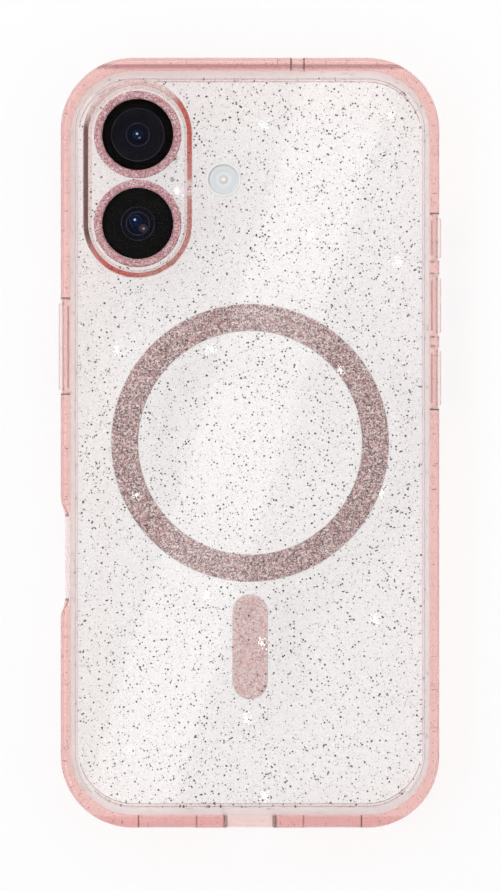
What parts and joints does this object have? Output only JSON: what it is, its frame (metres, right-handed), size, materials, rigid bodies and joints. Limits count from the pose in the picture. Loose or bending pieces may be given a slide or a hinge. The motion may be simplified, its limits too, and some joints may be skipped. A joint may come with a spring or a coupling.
{
  "type": "phone case",
  "caption": "Slim phone case with a translucent pink bumper, clear glittered back, magnet ring, lens covers and pressable side buttons.",
  "frame": {"origin": "middle of the footprint, in the plane of the front rim that the case rests on", "axes": "+Z leaves the back plate, away from the phone; +Y to the phone's top edge; +X to the edge with the volume buttons, so the camera island is at -X +Y"},
  "size_m": [0.0766, 0.1536, 0.0138],
  "materials": {
    "pink_tpu": "translucent pink flexible plastic with fine glitter, glossy",
    "clear_plastic": "clear hard plastic with scattered glitter flakes",
    "clear_pink": "clear hard plastic with a light pink tint",
    "white_plastic": "white",
    "frosted_clear": "frosted clear",
    "glitter_film": "dense rose glitter print",
    "glitter_metal": "rose glitter coating",
    "lens_glass": "clear",
    "black_print": "black",
    "tinted_window": "dark blue-black tint",
    "black_foam": "matt black foam",
    "adhesive": "double-sided adhesive film",
    "magnet": "nickel plated",
    "white_film": "white protective film"
  },
  "bodies": {
    "case": {"bumper_frame": "pink_tpu", "back_plate": "clear_plastic", "camera_frame": "pink_tpu", "camera_plate": "clear_plastic", "flash_bezel": "white_plastic", "flash_window": "frosted_clear", "ring_film": "glitter_film", "ring_adhesive": "adhesive", "ring_magnets": "magnet", "ring_backing": "white_film", "bar_film": "glitter_film", "bar_adhesive": "adhesive", "bar_magnet": "magnet", "bar_backing": "white_film", "lens_ring_upper": "glitter_metal", "lens_glass_upper": "lens_glass", "lens_mask_upper": "black_print", "lens_window_upper": "tinted_window", "lens_gasket_upper": "black_foam", "lens_ring_lower": "glitter_metal", "lens_glass_lower": "lens_glass", "lens_mask_lower": "black_print", "lens_window_lower": "tinted_window", "lens_gasket_lower": "black_foam"},
    "side_button": {"side_button_cap": "clear_pink", "side_button_pad": "pink_tpu"},
    "action_button": {"action_button_cap": "clear_pink", "action_button_pad": "pink_tpu"},
    "volume_up_button": {"volume_up_button_cap": "clear_pink", "volume_up_button_pad": "pink_tpu"},
    "volume_down_button": {"volume_down_button_cap": "clear_pink", "volume_down_button_pad": "pink_tpu"}
  },
  "joints": [
    {"name": "side_button_press", "type": "slide", "parent": "case", "child": "side_button", "axis": [1, 0, 0], "range_m": [0, 0.00035], "stiffness_N_per_m": 1200},
    {"name": "action_button_press", "type": "slide", "parent": "case", "child": "action_button", "axis": [-1, 0, 0], "range_m": [0, 0.00035], "stiffness_N_per_m": 1200},
    {"name": "volume_up_button_press", "type": "slide", "parent": "case", "child": "volume_up_button", "axis": [-1, 0, 0], "range_m": [0, 0.00035], "stiffness_N_per_m": 1200},
    {"name": "volume_down_button_press", "type": "slide", "parent": "case", "child": "volume_down_button", "axis": [-1, 0, 0], "range_m": [0, 0.00035], "stiffness_N_per_m": 1200}
  ]
}
